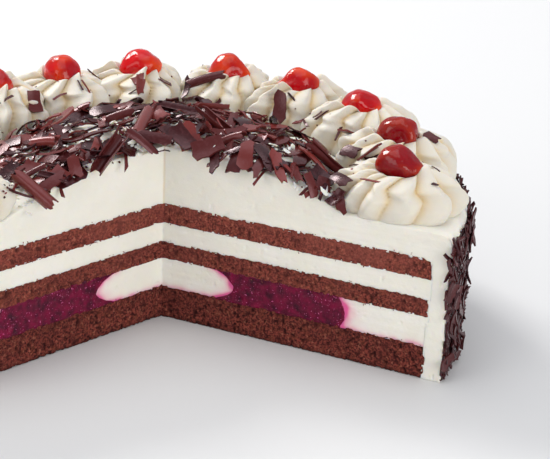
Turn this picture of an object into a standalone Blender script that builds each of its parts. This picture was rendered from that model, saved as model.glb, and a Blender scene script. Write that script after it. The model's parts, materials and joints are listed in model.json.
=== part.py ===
"""Black forest cake: a round layered cake with a wedge of five of its sixteen portions cut out.

Units are metres, +Z is up and the cake stands on z = 0. The wedge opens towards -Y, and the origin
is the middle of the cake's footprint, so the cake's own axis stands a little behind it.
"""

import math

import bmesh
import bpy

# Driving dimensions
PORTIONS = 16
PORTIONS_CUT_OUT = 5
SPONGE_RADIUS = 0.130
COAT_RADIUS = 0.138
SHAVINGS_RADIUS = 0.1407
SPONGE_BOTTOM_TOP = 0.016
FILLING_TOP = 0.030
SPONGE_MIDDLE_TOP = 0.0385
CREAM_MIDDLE_TOP = 0.0478
SPONGE_TOP_TOP = 0.0573
RIM_HEIGHT = 0.070
DOME_RISE = 0.0152
DOME_RADIUS = 0.088
DOME_POWER = 2.7
FILLING_INNER_RADIUS = 0.0285
FILLING_INNER_BULGE = 0.0095
FILLING_OUTER_RADIUS = 0.090
FILLING_OUTER_BULGE = 0.0025
ROSETTE_RING_RADIUS = 0.107
ROSETTE_LENGTH = 0.056
ROSETTE_WIDTH = 0.0424
ROSETTE_FULLNESS = 2.5
ROSETTE_HEIGHT = 0.0185
ROSETTE_LOBES = 8
ROSETTE_TWIST = 0.62
ROSETTE_GROOVE = 0.17
CHERRY_WIDTH = 0.0215
CHERRY_HEIGHT = 0.0172
CHERRY_CENTRE = 0.0203
HEAP_RADIUS = 0.0755
HEAP_THICKNESS = 0.0052

# Fineness and clearances
GAP = 0.0003
ROSETTE_GAP = 0.0005
SIDE_GAP = 0.00025
CUP_CLEARANCE = 0.0011
SWEEP_STEPS = 30
COAT_STEPS = 48
LOBE_SAMPLES = 4
CHERRY_SEGMENTS = 10
CHERRY_RINGS = 6

PORTION_ANGLE = math.tau / PORTIONS
WEDGE_HALF = PORTIONS_CUT_OUT * PORTION_ANGLE / 2
SWEEP_START = -math.pi / 2 + WEDGE_HALF
SWEEP_ANGLE = math.tau - 2 * WEDGE_HALF
# The box runs from the cut edges' outer ends, at -Y, to the back of the cake.
AXIS_Y = -SHAVINGS_RADIUS * (1 - math.cos(WEDGE_HALF)) / 2


def clear_scene():
    for obj in list(bpy.data.objects):
        bpy.data.objects.remove(obj, do_unlink=True)


def make_material(name, colour, roughness, specular=0.5):
    material = bpy.data.materials.new(name)
    material.use_nodes = True
    shader = material.node_tree.nodes["Principled BSDF"]
    shader.inputs["Base Color"].default_value = (*colour, 1.0)
    shader.inputs["Roughness"].default_value = roughness
    shader.inputs["Metallic"].default_value = 0.0
    shader.inputs["Specular IOR Level"].default_value = specular
    return material


def add_object(name, bm, material, place=(0.0, AXIS_Y, 0.0), turn=0.0):
    """Puts a closed mesh into the scene as one smooth-shaded node."""
    bmesh.ops.recalc_face_normals(bm, faces=bm.faces)
    mesh = bpy.data.meshes.new(name)
    bm.to_mesh(mesh)
    bm.free()
    mesh.shade_smooth()
    mesh.set_sharp_from_angle(angle=math.radians(40))
    mesh.materials.append(material)
    obj = bpy.data.objects.new(name, mesh)
    bpy.context.scene.collection.objects.link(obj)
    obj.location = place
    obj.rotation_euler = (0.0, 0.0, turn)
    return obj


def ripple(angle, seed, height=0.0):
    """A smooth uneven wave between about -1 and 1 round the cake."""
    return (
        0.5 * math.sin(7 * angle + 1.3 * seed + 90 * height)
        + 0.3 * math.sin(13 * angle + 2.1 * seed - 150 * height)
        + 0.2 * math.sin(23 * angle + 0.7 * seed + 210 * height)
    )


def coat_top(radius):
    """Height of the top cream: a low dome inside a flat rim."""
    return RIM_HEIGHT + DOME_RISE * max(0.0, 1 - (radius / DOME_RADIUS) ** DOME_POWER)


def sweep(name, outline, material, steps=SWEEP_STEPS):
    """Turns a closed (radius, height) outline about the cake's axis, from one cut face to the other.

    outline(angle) gives the section at an angle, always with the same number of points.
    """
    bm = bmesh.new()
    rings = []
    for i in range(steps + 1):
        angle = SWEEP_START + SWEEP_ANGLE * i / steps
        ring = [
            bm.verts.new((r * math.cos(angle), r * math.sin(angle), z))
            for r, z in outline(angle)
        ]
        rings.append(ring)
    for near, far in zip(rings, rings[1:]):
        for k in range(len(near)):
            n = (k + 1) % len(near)
            bm.faces.new((near[k], near[n], far[n], far[k]))
    bm.faces.new(rings[0])
    bm.faces.new(reversed(rings[-1]))
    # Points on the axis fall together, which closes the two cut faces along it.
    bmesh.ops.remove_doubles(bm, verts=bm.verts, dist=1e-6)
    bmesh.ops.triangulate(bm, faces=bm.faces)
    return add_object(name, bm, material)


def steady(points):
    """An outline that stays the same all the way round."""
    return lambda angle: points


def bulging_side(z_low, z_high, radius, bulge, steps=4):
    """Points up a side that swells outwards by bulge at half height."""
    side = []
    for k in range(steps + 1):
        t = k / steps
        side.append((radius + bulge * math.sin(math.pi * t), z_low + (z_high - z_low) * t))
    return side


def make_sponge(name, z_low, z_high, material):
    """A round of sponge whose upper outer edge is rounded, as it comes from its tin."""
    corner = 0.3 * (z_high - z_low)
    side = [(SPONGE_RADIUS, z_low)]
    for degrees in (0, 45, 90):
        a = math.radians(degrees)
        side.append(
            (SPONGE_RADIUS - corner * (1 - math.cos(a)), z_high - corner * (1 - math.sin(a)))
        )
    return sweep(name, steady([(0.0, z_low), *side, (0.0, z_high)]), material)


def make_filling(cream, cherry_filling):
    """Between the lower sponges: a piped heart of cream, a ring of cherry filling, a ring of cream."""
    low, high = SPONGE_BOTTOM_TOP + GAP, FILLING_TOP
    inner = (low, high, FILLING_INNER_RADIUS, FILLING_INNER_BULGE)
    outer = (low, high, FILLING_OUTER_RADIUS, FILLING_OUTER_BULGE)
    heart = bulging_side(*inner)
    sweep("filling_cream_heart", steady([(0.0, low), *heart, (0.0, high)]), cream)
    heart_wall = [(r + GAP, z) for r, z in reversed(heart)]
    edge = bulging_side(*outer)
    sweep("filling_cherry", steady([*edge, *heart_wall]), cherry_filling)
    edge_wall = [(r + GAP, z) for r, z in reversed(edge)]
    sweep(
        "filling_cream_ring",
        steady([(SPONGE_RADIUS, low), (SPONGE_RADIUS, high), *edge_wall]),
        cream,
    )


def dome_radii():
    """Radii that the dome and the shavings heap on it share, so that their facets stay parallel."""
    return [HEAP_RADIUS * k / 5 for k in range(1, 6)]


def make_coat(cream):
    """One skin of cream: the thick domed top layer, the rim under the rosettes and the masked side."""
    wall = SPONGE_RADIUS + GAP
    edge = 0.004
    outline = [(0.0, SPONGE_TOP_TOP + GAP), (wall, SPONGE_TOP_TOP + GAP), (wall, 0.0)]
    outline.append((COAT_RADIUS, 0.0))
    for degrees in (0, 45, 90):
        a = math.radians(degrees)
        outline.append(
            (COAT_RADIUS - edge * (1 - math.cos(a)), RIM_HEIGHT - edge * (1 - math.sin(a)))
        )
    outline.append((DOME_RADIUS, RIM_HEIGHT))
    outline += [(r, coat_top(r)) for r in reversed(dome_radii())]
    outline.append((0.0, coat_top(0.0)))
    sweep("cream_coat", steady(outline), cream)


def make_top_shavings(chocolate):
    """The heap of chocolate shavings over the dome, with a lumpy top and an uneven edge."""
    radii = dome_radii()

    def outline(angle):
        edge = HEAP_RADIUS * (1 + 0.03 * ripple(angle, 2))
        low = [(r, coat_top(r) + GAP) for r in (0.0, *radii[:-1])]
        low.append((edge, coat_top(edge) + 2 * GAP))
        high = [(0.0, coat_top(0.0) + HEAP_THICKNESS)]
        for k, r in enumerate(radii[:-1]):
            lumps = 0.4 * ripple(angle, 3 * k) * r / HEAP_RADIUS
            high.append((r, coat_top(r) + HEAP_THICKNESS * (1 + lumps)))
        high.append((edge, coat_top(edge) + 0.5 * HEAP_THICKNESS))
        return low + list(reversed(high))

    sweep("shavings_top", outline, chocolate)


def make_side_shavings(chocolate):
    """The shavings pressed into the side: a thin rough shell that stands up past the rim in places."""

    def outline(angle):
        wall = COAT_RADIUS + GAP
        top = RIM_HEIGHT + 0.0015 + 0.0025 * ripple(angle, 5)
        rows = 5
        outer = []
        for k in range(rows):
            z = (top - 0.002) * k / (rows - 1)
            outer.append((SHAVINGS_RADIUS - 0.0006 + 0.0006 * ripple(angle, k, z), z))
        return [(wall, 0.0), *outer, (wall + 0.0009, top), (wall, top - 0.003)]

    sweep("shavings_side", outline, chocolate, COAT_STEPS)


def rosette_reach(angle):
    """Half width of the footprint: a full oval, kept inside the portion that the rosette sits on."""
    along = abs(math.cos(angle)) / (ROSETTE_LENGTH / 2)
    across = abs(math.sin(angle)) / (ROSETTE_WIDTH / 2)
    oval = (along**ROSETTE_FULLNESS + across**ROSETTE_FULLNESS) ** (-1 / ROSETTE_FULLNESS)
    slope = math.tan(PORTION_ANGLE / 2)
    lean = abs(math.sin(angle)) - math.cos(angle) * slope
    if lean <= 0:
        return oval
    return min(oval, (ROSETTE_RING_RADIUS * slope - SIDE_GAP) / lean)


def cup_floor(radius):
    """Height of the hollow that holds the cherry, above the rim."""
    across = CHERRY_WIDTH / 2 + CUP_CLEARANCE
    deep = CHERRY_HEIGHT / 2 + CUP_CLEARANCE
    return CHERRY_CENTRE - deep * math.sqrt(max(0.0, 1 - (radius / across) ** 2))


def make_rosette(name, centre_angle, seed, cream):
    """A piped rosette: leaning lobes with grooves between them, drawn up to a hollow for the cherry."""
    bm = bmesh.new()
    samples = ROSETTE_LOBES * LOBE_SAMPLES
    swell = 1 - 0.03 * (0.5 + 0.5 * ripple(0.0, seed))
    cup = 0.0112
    # Each level: share of the footprint, height above the rim, turn of the lobes, groove depth.
    levels = (
        (0.90, 0.0, 0.0, 1.0),
        (1.00, 0.34 * ROSETTE_HEIGHT, 0.35, 1.0),
        (0.80, 0.72 * ROSETTE_HEIGHT, 0.70, 1.0),
        (None, 0.98 * ROSETTE_HEIGHT * swell, 1.0, 0.4),
    )
    rings = []
    for share, height, turn, groove in levels:
        ring = []
        for s in range(samples):
            a = math.tau * s / samples
            wave = abs(math.cos(ROSETTE_LOBES / 2 * (a - ROSETTE_TWIST * turn) + seed))
            notch = 1 - ROSETTE_GROOVE * groove * (1 - wave)
            if share is None:
                reach = cup / (1 - 0.4 * ROSETTE_GROOVE)
            else:
                reach = share * swell * rosette_reach(a)
            x, y = reach * notch * math.cos(a), reach * notch * math.sin(a)
            floor = 0.0
            if share is not None:
                fade = 1 - height / ROSETTE_HEIGHT
                floor = (coat_top(math.hypot(ROSETTE_RING_RADIUS + x, y)) - RIM_HEIGHT) * fade
            ring.append(bm.verts.new((x, y, ROSETTE_GAP + floor + height)))
        rings.append(ring)
    hollow, under = [], []
    for s in range(0, samples, 2):
        a = math.tau * s / samples
        r = 0.6 * cup
        hollow.append(bm.verts.new((r * math.cos(a), r * math.sin(a), cup_floor(r))))
        r = 0.5 * rosette_reach(a)
        x, y = r * math.cos(a), r * math.sin(a)
        bed = coat_top(math.hypot(ROSETTE_RING_RADIUS + x, y)) - RIM_HEIGHT
        under.append(bm.verts.new((x, y, ROSETTE_GAP + bed)))
    for low, high in zip(rings, rings[1:]):
        for s in range(samples):
            n = (s + 1) % samples
            bm.faces.new((low[s], low[n], high[n], high[s]))
    middles = (bm.verts.new((0.0, 0.0, cup_floor(0.0))), bm.verts.new((0.0, 0.0, ROSETTE_GAP)))
    for fine, coarse, middle in ((rings[-1], hollow, middles[0]), (rings[0], under, middles[1])):
        for c in range(len(coarse)):
            n = (c + 1) % len(coarse)
            bm.faces.new((fine[2 * c], fine[2 * c + 1], coarse[c]))
            bm.faces.new((fine[2 * c + 1], fine[(2 * c + 2) % samples], coarse[n], coarse[c]))
            bm.faces.new((coarse[c], coarse[n], middle))
    bmesh.ops.triangulate(bm, faces=bm.faces)
    place = (
        ROSETTE_RING_RADIUS * math.cos(centre_angle),
        AXIS_Y + ROSETTE_RING_RADIUS * math.sin(centre_angle),
        RIM_HEIGHT,
    )
    return add_object(name, bm, cream, place, centre_angle)


def make_cherry(name, centre_angle, seed, cherry_red):
    """A glace cherry: a squashed ball with a dimple on top and a slightly flattened flank."""
    bm = bmesh.new()
    bmesh.ops.create_uvsphere(
        bm, u_segments=CHERRY_SEGMENTS, v_segments=CHERRY_RINGS, radius=1.0
    )
    flat_side = 2.4 * seed
    for vert in bm.verts:
        a = math.atan2(vert.co.y, vert.co.x)
        pressed = 1 - 0.07 * max(0.0, math.cos(a - flat_side)) * (1 - vert.co.z**2)
        dimple = 0.12 * max(0.0, vert.co.z) ** 8
        vert.co.x *= pressed * CHERRY_WIDTH / 2
        vert.co.y *= pressed * CHERRY_WIDTH / 2 * 0.96
        vert.co.z = (vert.co.z - dimple) * CHERRY_HEIGHT / 2
    place = (
        ROSETTE_RING_RADIUS * math.cos(centre_angle),
        AXIS_Y + ROSETTE_RING_RADIUS * math.sin(centre_angle),
        RIM_HEIGHT + CHERRY_CENTRE,
    )
    return add_object(name, bm, cherry_red, place, centre_angle)


def main():
    clear_scene()
    cream = make_material("whipped_cream", (0.86, 0.82, 0.70), 0.55)
    sponge = make_material("chocolate_sponge", (0.085, 0.030, 0.018), 0.95, 0.2)
    cherry_filling = make_material("cherry_filling", (0.16, 0.012, 0.045), 0.25)
    cherry_red = make_material("glace_cherry", (0.50, 0.010, 0.012), 0.12)
    chocolate = make_material("dark_chocolate", (0.060, 0.024, 0.018), 0.35)

    make_sponge("sponge_bottom", 0.0, SPONGE_BOTTOM_TOP, sponge)
    make_filling(cream, cherry_filling)
    make_sponge("sponge_middle", FILLING_TOP + GAP, SPONGE_MIDDLE_TOP, sponge)
    low, high = SPONGE_MIDDLE_TOP + GAP, CREAM_MIDDLE_TOP
    middle = [(0.0, low), (SPONGE_RADIUS, low), (SPONGE_RADIUS, high), (0.0, high)]
    sweep("cream_middle", steady(middle), cream)
    make_sponge("sponge_top", CREAM_MIDDLE_TOP + GAP, SPONGE_TOP_TOP, sponge)
    make_coat(cream)
    make_top_shavings(chocolate)
    make_side_shavings(chocolate)
    for k in range(PORTIONS - PORTIONS_CUT_OUT):
        angle = SWEEP_START + (k + 0.5) * PORTION_ANGLE
        make_rosette(f"rosette_{k + 1:02d}", angle, k, cream)
        make_cherry(f"cherry_{k + 1:02d}", angle, k, cherry_red)


main()
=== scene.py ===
# %% [markdown]
# # A black forest cake with a wedge cut out
#
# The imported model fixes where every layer, rosette and cherry is. This lesson dresses it: crumbly
# sponge, whipped cream, a cherry filling, piped rosettes, glossy cherries and loose chocolate
# shavings. Everything is in metres, and the cake stands on z = 0.

# %% Load the fixed model
import itertools
import json
import math

import bmesh
import bpy
import numpy as np
from mathutils import Euler, Matrix, Vector

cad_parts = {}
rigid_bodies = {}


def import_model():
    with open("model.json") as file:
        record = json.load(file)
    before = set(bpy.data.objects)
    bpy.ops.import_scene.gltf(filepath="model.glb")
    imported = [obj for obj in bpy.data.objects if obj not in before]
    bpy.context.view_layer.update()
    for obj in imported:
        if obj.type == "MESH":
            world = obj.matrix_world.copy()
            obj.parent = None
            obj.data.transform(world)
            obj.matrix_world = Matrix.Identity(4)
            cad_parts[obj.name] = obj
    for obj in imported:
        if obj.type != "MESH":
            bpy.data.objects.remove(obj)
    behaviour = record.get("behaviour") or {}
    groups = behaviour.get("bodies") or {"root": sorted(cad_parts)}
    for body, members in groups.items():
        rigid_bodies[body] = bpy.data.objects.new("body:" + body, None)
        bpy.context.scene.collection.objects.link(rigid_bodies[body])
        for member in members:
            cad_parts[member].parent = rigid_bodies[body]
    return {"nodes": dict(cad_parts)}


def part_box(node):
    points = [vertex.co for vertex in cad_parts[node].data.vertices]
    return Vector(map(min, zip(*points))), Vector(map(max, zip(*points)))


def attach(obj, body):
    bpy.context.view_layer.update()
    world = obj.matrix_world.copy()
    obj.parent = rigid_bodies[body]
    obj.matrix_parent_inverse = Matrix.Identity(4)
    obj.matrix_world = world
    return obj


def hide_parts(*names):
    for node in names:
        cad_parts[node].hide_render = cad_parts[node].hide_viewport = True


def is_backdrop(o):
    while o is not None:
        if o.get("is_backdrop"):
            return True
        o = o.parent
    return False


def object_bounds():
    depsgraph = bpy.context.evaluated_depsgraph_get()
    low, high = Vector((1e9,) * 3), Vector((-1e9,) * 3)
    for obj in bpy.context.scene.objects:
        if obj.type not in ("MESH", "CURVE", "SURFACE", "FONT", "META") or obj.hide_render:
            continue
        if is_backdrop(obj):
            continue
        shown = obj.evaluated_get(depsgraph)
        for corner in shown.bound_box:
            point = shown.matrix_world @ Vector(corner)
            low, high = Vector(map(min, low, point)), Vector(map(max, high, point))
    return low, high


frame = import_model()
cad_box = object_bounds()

print("nodes:", len(frame["nodes"]), "box:", [tuple(round(x, 4) for x in corner) for corner in cad_box])

# %% [markdown]
# ## Sizes from the model
#
# The cake's own axis isn't the middle of its box, because the wedge is missing on the -Y side. A
# round layer's box tells both: its half width is the radius, and its back edge is one radius behind
# the axis. Its front edge is where the cut meets the outside, which gives the wedge's half angle.

# %% Read the axis, the wedge and the layer heights
MM = 0.001
sponge_low, sponge_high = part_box("sponge_bottom")
SPONGE_RADIUS = sponge_high.x
AXIS = Vector((0.0, sponge_high.y - SPONGE_RADIUS, 0.0))
WEDGE_HALF = math.acos((AXIS.y - sponge_low.y) / SPONGE_RADIUS)
START = WEDGE_HALF - math.pi / 2
SWEEP = math.tau - 2 * WEDGE_HALF
COAT_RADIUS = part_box("cream_coat")[1].x
COAT_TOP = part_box("cream_coat")[1].z
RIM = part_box("rosette_06")[0].z
HEAP_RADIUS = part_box("shavings_top")[1].x
ROSETTES = sum(name.startswith("rosette") for name in frame["nodes"])
RING_RADIUS = (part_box("cherry_06")[0].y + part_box("cherry_06")[1].y) / 2 - AXIS.y
print(f"axis y {AXIS.y:.4f}, wedge {math.degrees(2 * WEDGE_HALF):.1f} deg, rosettes {ROSETTES}")


def heights(node):
    """Lowest and highest z of a layer."""
    low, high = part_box(node)
    return low.z, high.z


def put_in_scene(name, data):
    """A new object in the scene."""
    thing = bpy.data.objects.new(name, data)
    bpy.context.scene.collection.objects.link(thing)
    return thing


def at_angle(angle, out, aside=0.0):
    """The x and y of a place out from the axis in a direction, and aside to the left of it."""
    c, s = math.cos(angle), math.sin(angle)
    return out * c - aside * s, out * s + aside * c


# %% [markdown]
# ## Camera and light
#
# The cake is seen from a little above, through a long lens that stands under a metre away. Food
# like this is lit softly: the light falls from a broad ceiling and from a window behind, and pale
# walls fill the front, so that the cut faces stay bright and the cherries carry a white edge.

# %% Place the camera
CAMERA_PLACE = Vector((-0.0802, -0.6859 + AXIS.y, 0.3338))
CAMERA_YAW, CAMERA_PITCH, CAMERA_ROLL = 10.95, 22.6, 2.84
camera_data = bpy.data.cameras.new("Camera")
camera_data.lens = 106.0
camera_data.sensor_width = 36.0
camera = put_in_scene("Camera", camera_data)
camera.location = CAMERA_PLACE
turns = [
    Matrix.Rotation(math.radians(-CAMERA_YAW), 3, "Z"),
    Matrix.Rotation(math.radians(90 - CAMERA_PITCH), 3, "X"),
    Matrix.Rotation(math.radians(CAMERA_ROLL), 3, "Z"),
]
camera.rotation_euler = (turns[0] @ turns[1] @ turns[2]).to_euler()
bpy.context.scene.camera = camera
print("camera at", tuple(round(x, 3) for x in camera.location))

# %% Light the table softly
world = bpy.data.worlds.new("pale_room")
bpy.context.scene.world = world
world.use_nodes = True
world.node_tree.nodes["Background"].inputs["Color"].default_value = (0.93, 0.94, 1.0, 1)
world.node_tree.nodes["Background"].inputs["Strength"].default_value = 0.5
bpy.context.scene.view_settings.view_transform = "Standard"


def soft_light(name, place, aim, size, watts, colour):
    """A square soft light that faces a point."""
    data = bpy.data.lights.new(name, "AREA")
    data.size, data.energy, data.color = size, watts, colour
    lamp = put_in_scene(name, data)
    lamp.location = place
    lamp.rotation_euler = (Vector(aim) - Vector(place)).to_track_quat("-Z", "Y").to_euler()
    print(name, watts, "W")


soft_light("ceiling", (0.0, 0.45, 2.55), (0, 0.0, 0.0), 2.55, 26.0, (0.98, 0.98, 1.0))
soft_light("window", (-0.9, 1.7, 1.55), (0, 0, 0.05), 0.80, 40.0, (1.0, 0.985, 0.96))
soft_light("front_fill", (1.3, -2.1, 0.79), (0, 0, 0.05), 1.6, 32.0, (1.0, 0.985, 0.95))
soft_light("left_fill", (-2.0, -1.0, 0.95), (0, 0, 0.05), 1.4, 13.6, (1.0, 0.98, 0.94))

# %% Lay the table
floor_mesh = bpy.data.meshes.new("table")
reach = 9.0
corners = [(-reach, -reach, 0), (reach, -reach, 0), (reach, reach, 0), (-reach, reach, 0)]
floor_mesh.from_pydata(corners, [], [(0, 1, 2, 3)])
floor = put_in_scene("table", floor_mesh)
floor_finish = bpy.data.materials.new("table_white")
floor_finish.use_nodes = True
floor_sockets = floor_finish.node_tree.nodes["Principled BSDF"].inputs
floor_sockets["Base Color"].default_value = (0.73, 0.735, 0.735, 1)
floor_sockets["Roughness"].default_value = 0.6
floor_sockets["Specular IOR Level"].default_value = 0.15
floor_mesh.materials.append(floor_finish)
floor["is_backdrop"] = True
print("floor at z = 0")

# %% [markdown]
# ## Relief and pieces
#
# Cut food is never smooth: crumbs, bubbles and knife drag all shift the surface by parts of a
# millimetre. A smooth 3-D noise that numpy works out for thousands of points at once gives that
# relief, and it depends only on where a point is, so neighbours agree along shared edges. The other
# helpers join a grid of points with faces, make a mesh of them and tie it to the model.

# %% Noise, meshes and pieces
LATTICE = np.random.default_rng(11).uniform(-1.0, 1.0, (32, 32, 32))


def noise(points, size, seed):
    """Smooth noise between -1 and 1 with bumps about size across; size may differ in x, y and z."""
    place = np.asarray(points) / np.asarray(size) + 7.31 * seed + 100.0
    cell = np.floor(place).astype(int)
    part = place - cell
    part = part * part * (3 - 2 * part)
    total = np.zeros(len(place))
    for corner in itertools.product((0, 1), repeat=3):
        weight = np.prod(np.where(corner, part, 1 - part), axis=1)
        x, y, z = ((cell + corner) % 32).T
        total += weight * LATTICE[x, y, z]
    return total


def rough(points, size, seed, layers=3):
    """Several sizes of noise on top of each other, each finer and fainter than the last."""
    parts = [noise(points, np.asarray(size) / 2**k, seed + k) / 2**k for k in range(layers)]
    return sum(parts) / 1.6


def grid_faces(ids):
    """Faces between neighbours in a grid of point numbers; a number that repeats counts once."""
    quads = np.stack([ids[:-1, :-1], ids[1:, :-1], ids[1:, 1:], ids[:-1, 1:]], axis=-1)
    faces = []
    for quad in quads.reshape(-1, 4).tolist():
        ring = [a for a, b in zip(quad, quad[1:] + quad[:1]) if a != b]
        if len(ring) > 2:
            faces.append(ring)
    return faces


def round_grid(ids):
    """The points that a grid uses, and its faces when its last column joins its first."""
    used, numbers = np.unique(ids, return_inverse=True)
    numbers = numbers.reshape(ids.shape)
    return used, grid_faces(np.hstack([numbers, numbers[:, :1]]))


def make_piece(name, points, faces, finish, marks=None):
    """A smooth-shaded closed mesh with its normals outwards; marks are named values on its points."""
    mesh = bpy.data.meshes.new(name)
    mesh.from_pydata(np.asarray(points).tolist(), [], faces)
    bm = bmesh.new()
    bm.from_mesh(mesh)
    bmesh.ops.recalc_face_normals(bm, faces=bm.faces)
    bm.to_mesh(mesh)
    bm.free()
    for mark, values in (marks or {}).items():
        layer = mesh.attributes.new(mark, "FLOAT", "POINT")
        layer.data.foreach_set("value", np.asarray(values, dtype=np.float32))
    mesh.shade_smooth()
    mesh.materials.append(finish)
    return put_in_scene(name, mesh)


def settle(piece, slot, *nodes):
    """Ties a finished piece to the model."""
    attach(piece, "root")
    if nodes:
        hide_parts(*nodes)
    print(piece.name, len(piece.data.polygons), "faces")
    return piece


# %% [markdown]
# ## Finishes
#
# Each finish is a Principled shader fed by procedural textures. A small kit keeps the node trees
# short: one function adds a node and feeds its inputs, another mixes two colours by a mask.


# %% A kit for node trees
def feed(tree, node, links):
    """Feeds a node's inputs, from other nodes or with plain values."""
    for socket, source in links.items():
        if isinstance(source, bpy.types.NodeSocket):
            tree.links.new(source, node.inputs[socket])
        else:
            node.inputs[socket].default_value = source


def add_node(tree, kind, links=None, **settings):
    node = tree.nodes.new(kind)
    for key, value in settings.items():
        setattr(node, key, value)
    feed(tree, node, links or {})
    return node


class Finish:
    """Builds one procedural material."""

    def __init__(self, name, **sockets):
        self.material = bpy.data.materials.new(name)
        self.material.use_nodes = True
        self.tree = self.material.node_tree
        self.shader = self.tree.nodes["Principled BSDF"]
        self.place = self.add("ShaderNodeTexCoord").outputs["Object"]
        self.finish(**sockets)

    def add(self, kind, links=None, **settings):
        return add_node(self.tree, kind, links, **settings)

    def speckle(self, size, detail, seed=0.0):
        """Noise between 0 and 1 whose spots are about size across."""
        moved = self.add("ShaderNodeMapping", {"Vector": self.place, "Location": (seed, seed, 0)})
        links = {"Vector": moved.outputs[0], "Scale": 1 / size, "Detail": detail}
        return self.add("ShaderNodeTexNoise", links).outputs["Fac"]

    def cells(self, size):
        """Distance from the middle of the nearest cell, with cells about size across."""
        links = {"Vector": self.place, "Scale": 1 / size}
        return self.add("ShaderNodeTexVoronoi", links).outputs["Distance"]

    def ramp(self, value, low, high, most=1.0):
        """Spreads a value's range low..high over 0..most."""
        return self.add("ShaderNodeMapRange", {0: value, 1: low, 2: high, 4: most}).outputs[0]

    def maths(self, how, a, b):
        return self.add("ShaderNodeMath", {0: a, 1: b}, operation=how).outputs[0]

    def mark(self, name):
        """A value painted on the mesh's points."""
        return self.add("ShaderNodeAttribute", attribute_name=name).outputs["Fac"]

    def mix(self, mask, a, b):
        """Colour a where the mask is 0, colour b where it is 1."""
        return self.add("ShaderNodeMix", {0: mask, 6: a, 7: b}, data_type="RGBA").outputs[2]

    def painted(self, mark, under, colour):
        """A colour laid over another where the mark is painted."""
        return self.mix(self.mark(mark), under, colour)

    def spotted(self, size, detail, low, high, under, colour, seed=0.0, most=1.0):
        """A colour laid over another in spots, where noise rises from low to high."""
        return self.mix(self.ramp(self.speckle(size, detail, seed), low, high, most), under, colour)

    def bump(self, height, distance, strength, under=None):
        links = {"Height": height, "Distance": distance, "Strength": strength}
        if under is not None:
            links["Normal"] = under
        return self.add("ShaderNodeBump", links).outputs["Normal"]

    def finish(self, **sockets):
        """Feeds the shader; an input's name is written with underscores."""
        feed(self.tree, self.shader, {name.replace("_", " "): to for name, to in sockets.items()})
        return self.material


def rgb(red, green, blue):
    """A screen colour from 0 to 255 as the linear value that a shader takes."""
    share = [((c / 255 + 0.055) / 1.055) ** 2.4 if c > 10 else c / 3294 for c in (red, green, blue)]
    return (*share, 1.0)


# %% [markdown]
# ## Whipped cream
#
# Whipped cream is a foam: light travels through it a little, so its creases glow warm instead of
# going grey. Subsurface scattering gives that. Its surface is satin, and a blade leaves tiny
# bubbles and streaks, which two scales of bump carry. Piped cream is painted a little darker, as
# painted shade, and yellower in its grooves, as painted shade in the creases. Where cream touches
# the cherry filling the juice has coloured it pink. The pieces carry all three as painted marks.

# %% Cream finish
cream = Finish(
    "whipped_cream",
    Roughness=0.5,
    Subsurface_Weight=0.45,
    Subsurface_Radius=(1.0, 0.72, 0.36),
    Subsurface_Scale=0.0024,
    Specular_IOR_Level=0.3,
)
white = cream.spotted(0.02, 4, 0.3, 0.7, rgb(230, 227, 215), rgb(235, 232, 223))
# Painted shade: the piped rosettes get a darker copy of the cream, since they sit in less light than the
# cut faces.
piped = cream.painted("piped", white, rgb(215, 210, 198))
# Painted shade: a warm yellow where the groove mark is painted, in the rosettes' creases and in the coat's
# inner corner.
crease_shaded = cream.painted("groove", piped, rgb(213, 182, 122))
juicy = cream.painted("stain", crease_shaded, rgb(222, 92, 150))
fine = cream.bump(cream.speckle(0.0009, 3), 0.0002, 0.6)
soft = cream.bump(cream.speckle(0.004, 3), 0.0005, 0.4, fine)
CREAM = cream.finish(Base_Color=juicy, Normal=soft)
print("cream ready")

# %% [markdown]
# ## Chocolate sponge
#
# The cut shows a dark open crumb. Its colour is a near-black brown with redder, drier crumbs
# standing out, so the colour follows the same noise that the bump uses. A crumb is dead matt.

# %% Sponge finish
sponge = Finish("chocolate_sponge", Roughness=0.95, Specular_IOR_Level=0.18)
pores = sponge.cells(0.0016)
crumb = sponge.speckle(0.0009, 4)
mottled = sponge.mix(sponge.ramp(crumb, 0.38, 0.62), rgb(56, 20, 20), rgb(144, 68, 57))
warm = sponge.spotted(0.003, 4, 0.5, 0.72, mottled, rgb(122, 64, 42), 5, 0.5)
toasted = sponge.spotted(0.0015, 3, 0.58, 0.68, warm, rgb(172, 104, 84), 8, 0.7)
# Painted shade: near black where the pit mark is painted, in the pits and dents of the cut faces and along
# the lowest base.
pit_shaded = sponge.painted("pit", toasted, rgb(42, 12, 12))
damp = sponge.spotted(0.012, 2, 0.4, 0.7, pit_shaded, rgb(100, 44, 40))
holes = sponge.bump(pores, 0.0007, 0.7)
grain = sponge.bump(crumb, 0.0006, 0.8, holes)
body = sponge.mix(0.35, pit_shaded, damp)
# Paler towards each layer's top and in the upper layers: partly dust, partly painted highlight.
paler = sponge.mix(sponge.maths("MULTIPLY", sponge.mark("pale"), 0.75), body, rgb(150, 84, 72))
# Darker in the lower layers, most of all near each layer's top.
deeper = sponge.painted("lower_darkening", paler, rgb(50, 18, 18))
SPONGE = sponge.finish(Base_Color=deeper, Normal=grain)
print("sponge ready")

# %% [markdown]
# ## Cherry filling
#
# Thickened cherry juice holds crushed fruit. The jelly is a deep magenta that lets light in, and it
# is wet, so it sparkles wherever its surface turns. Small paler flecks are painted glints.

# %% Filling finish
filling = Finish(
    "cherry_filling",
    Roughness=0.16,
    Subsurface_Weight=0.25,
    Subsurface_Radius=(1.0, 0.12, 0.3),
    Subsurface_Scale=0.002,
    Specular_IOR_Level=0.2,
)
fruit = filling.spotted(0.0040, 5, 0.32, 0.70, rgb(58, 0, 28), rgb(122, 5, 52))
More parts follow.
